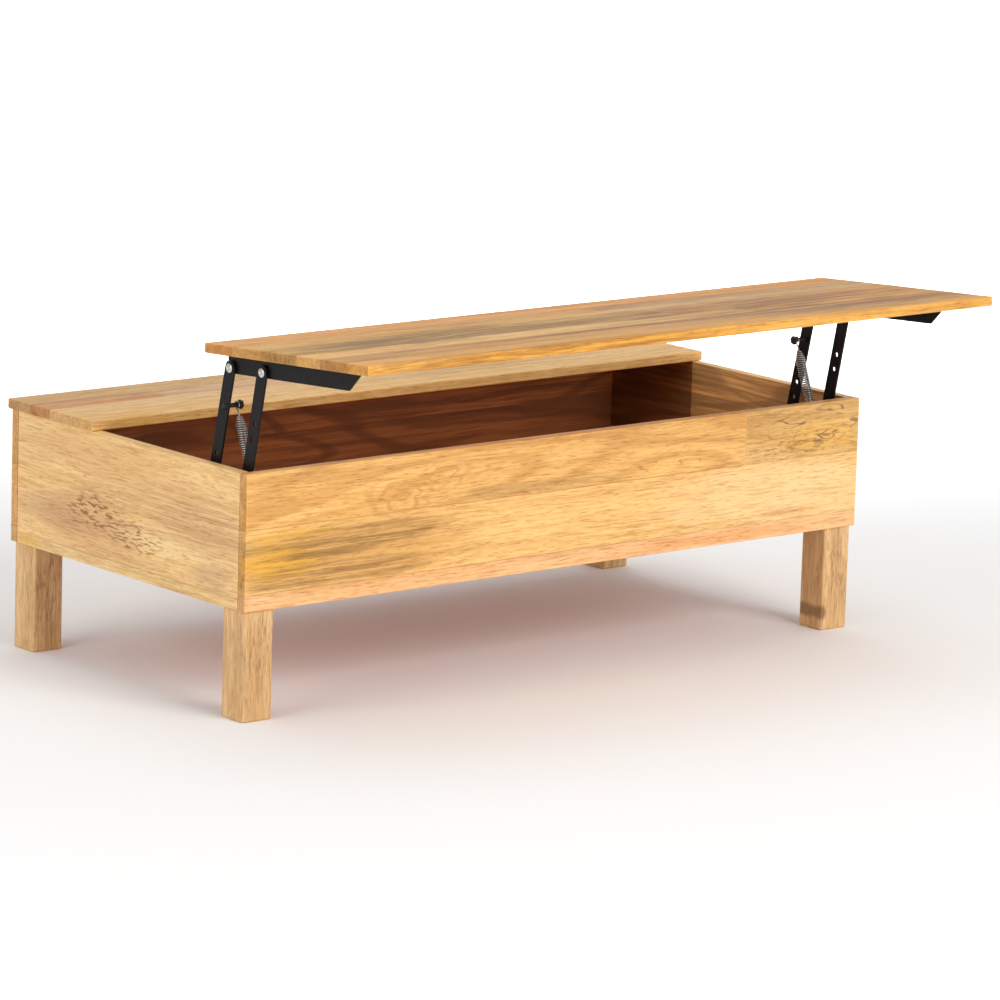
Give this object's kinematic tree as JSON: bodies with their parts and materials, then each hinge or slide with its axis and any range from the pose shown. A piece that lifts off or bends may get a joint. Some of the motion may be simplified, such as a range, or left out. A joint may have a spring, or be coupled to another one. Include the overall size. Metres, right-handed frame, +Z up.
{
  "type": "lift top coffee table",
  "caption": "Low wooden coffee table: a storage box on square legs with a fixed rear top and a front top that lifts forward and up on steel arms.",
  "frame": {"origin": "on the floor, under the middle of the table's overall box with its top raised", "axes": "+X along the table's length to its right end, +Y from front to back, +Z up"},
  "size_m": [1.1, 0.7997, 0.5198],
  "materials": {
    "box_wood": "oiled mango wood, satin",
    "top_wood": "oiled mango wood, satin",
    "leg_wood": "oiled mango wood, satin",
    "inner_wood": "oiled mango wood, darker inside the box",
    "dowel_wood": "plain hardwood",
    "black_steel": "black powder coat, soft gloss",
    "black_screw": "black oxide",
    "zinc_steel": "zinc plated",
    "rivet_steel": "bright zinc",
    "spring_steel": "oiled spring steel"
  },
  "bodies": {
    "root": {"front_panel": "box_wood", "back_panel": "box_wood", "left_end_panel": "box_wood", "right_end_panel": "box_wood", "floor_panel": "inner_wood", "floor_cleat_front": "inner_wood", "floor_cleat_back": "inner_wood", "floor_cleat_left": "inner_wood", "floor_cleat_right": "inner_wood", "corner_block_front_left": "inner_wood", "corner_block_front_right": "inner_wood", "corner_block_back_left": "inner_wood", "corner_block_back_right": "inner_wood", "leg_front_left": "leg_wood", "leg_front_right": "leg_wood", "leg_back_left": "leg_wood", "leg_back_right": "leg_wood", "rear_top": "top_wood", "panel_dowels": "dowel_wood", "rear_top_dowels": "dowel_wood", "floor_screws": "zinc_steel", "leg_bolts": "zinc_steel", "leg_bolt_washers": "zinc_steel", "base_plate_left": "black_steel", "base_plate_right": "black_steel", "base_plate_screws_left": "black_screw", "base_plate_screws_right": "black_screw", "base_rivets_left": "rivet_steel", "base_rivets_right": "rivet_steel", "base_washers_left": "zinc_steel", "base_washers_right": "zinc_steel", "spring_anchor_left": "black_steel", "spring_anchor_right": "black_steel"},
    "rear_arms": {"rear_arm_left": "black_steel", "rear_arm_right": "black_steel", "rear_arm_washer_left": "zinc_steel", "rear_arm_washer_right": "zinc_steel", "spring_post_left": "black_steel", "spring_post_right": "black_steel", "spring_post_nut_left": "black_screw", "spring_post_nut_right": "black_screw"},
    "front_arms": {"front_arm_left": "black_steel", "front_arm_right": "black_steel", "front_arm_washer_left": "zinc_steel", "front_arm_washer_right": "zinc_steel", "front_top_rivet_left": "rivet_steel", "front_top_rivet_right": "rivet_steel"},
    "lift_top": {"lift_top": "top_wood", "top_bracket_left": "black_steel", "top_bracket_right": "black_steel", "top_bracket_screws_left": "black_screw", "top_bracket_screws_right": "black_screw", "rear_top_rivet_left": "rivet_steel", "rear_top_rivet_right": "rivet_steel"},
    "springs": {"spring_left": "spring_steel", "spring_right": "spring_steel"},
    "spring_hooks": {"spring_hook_left": "spring_steel", "spring_hook_right": "spring_steel"}
  },
  "joints": [
    {"name": "rear_arms_fold", "type": "hinge", "parent": "root", "child": "rear_arms", "pos_m": [0, -0.02157, 0.2516], "axis": [-1, 0, 0], "range_deg": [0, 85.1]},
    {"name": "front_arms_fold", "type": "hinge", "parent": "root", "child": "front_arms", "pos_m": [0, -0.09425, 0.25362], "axis": [-1, 0, 0], "range_deg": [0, 85]},
    {"name": "lift_top_hinge", "type": "hinge", "parent": "rear_arms", "child": "lift_top", "pos_m": [0, -0.0671, 0.46276], "axis": [-1, 0, 0], "range_deg": [-89, 0]},
    {"name": "springs_swing", "type": "hinge", "parent": "root", "child": "springs", "pos_m": [0, -0.11707, 0.252], "axis": [-1, 0, 0], "range_deg": [0, 58.49]},
    {"name": "springs_stretch", "type": "slide", "parent": "springs", "child": "spring_hooks", "axis": [0, 0.3498, 0.9368], "range_m": [0, 0.08654], "deforming": ["spring_left", "spring_right", "spring_hook_left", "spring_hook_right"]}
  ],
  "couplings": [
    {"joint": "front_arms_fold", "follows": "rear_arms_fold", "ratio": 0.99814},
    {"joint": "lift_top_hinge", "follows": "rear_arms_fold", "ratio": -1.0447},
    {"joint": "springs_swing", "follows": "rear_arms_fold", "ratio": 0.68613},
    {"joint": "springs_stretch", "follows": "rear_arms_fold", "m_per_rad": 0.05813}
  ]
}
